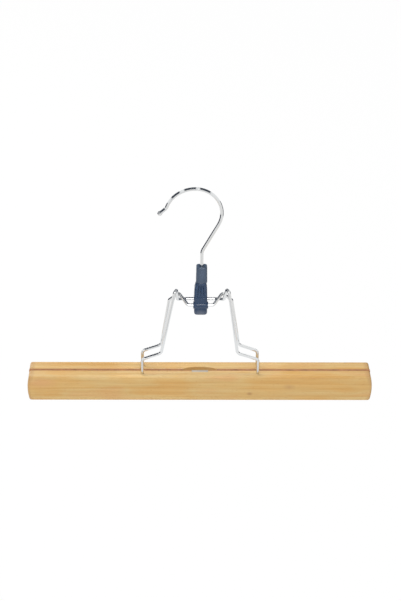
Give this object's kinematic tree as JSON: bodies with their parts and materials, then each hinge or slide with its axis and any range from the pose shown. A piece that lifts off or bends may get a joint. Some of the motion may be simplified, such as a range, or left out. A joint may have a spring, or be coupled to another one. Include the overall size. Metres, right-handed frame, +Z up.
{
  "type": "trouser hanger",
  "caption": "Clamping trouser hanger: felt-lined wooden bars on crossed chrome wire frames under a moulded hub with a swivelling wire hook.",
  "frame": {"origin": "rail seat, the underside of the hook's wire at its highest point", "axes": "+X along the bars, to the right in the picture; +Y from the front bar to the rear bar; +Z up"},
  "size_m": [0.27, 0.024, 0.1789],
  "materials": {
    "hook_chrome": "bright chrome-plated wire",
    "frame_chrome": "bright chrome-plated wire",
    "hub_plastic": "slate-blue moulding, semi-gloss",
    "bar_wood": "pale wood with a fine straight grain, satin lacquer",
    "felt": "brown felt",
    "plate_steel": "dull plate"
  },
  "bodies": {
    "hook": {"hook": "hook_chrome"},
    "hub": {"hub_cap": "hub_plastic", "hub_body": "hub_plastic"},
    "rear_jaw": {"rear_wire": "frame_chrome", "rear_bar": "bar_wood", "rear_felt": "felt"},
    "front_jaw": {"front_wire": "frame_chrome", "front_bar": "bar_wood", "front_felt": "felt", "centre_plate": "plate_steel"}
  },
  "joints": [
    {"name": "hook_swivel", "type": "hinge", "parent": "hook", "child": "hub", "pos_m": [0.0053, 0, -0.07], "axis": [0, 0, 1], "continuous": true},
    {"name": "clamp_open", "type": "hinge", "parent": "hub", "child": "rear_jaw", "pos_m": [0.0047, -0.0051, -0.0943], "axis": [1, 0, 0], "range_deg": [0, 10]},
    {"name": "front_open", "type": "hinge", "parent": "rear_jaw", "child": "front_jaw", "pos_m": [0.0047, 0, -0.0878], "axis": [-1, 0, 0], "range_deg": [0, 20]}
  ],
  "couplings": [
    {"joint": "front_open", "follows": "clamp_open", "ratio": 2}
  ]
}
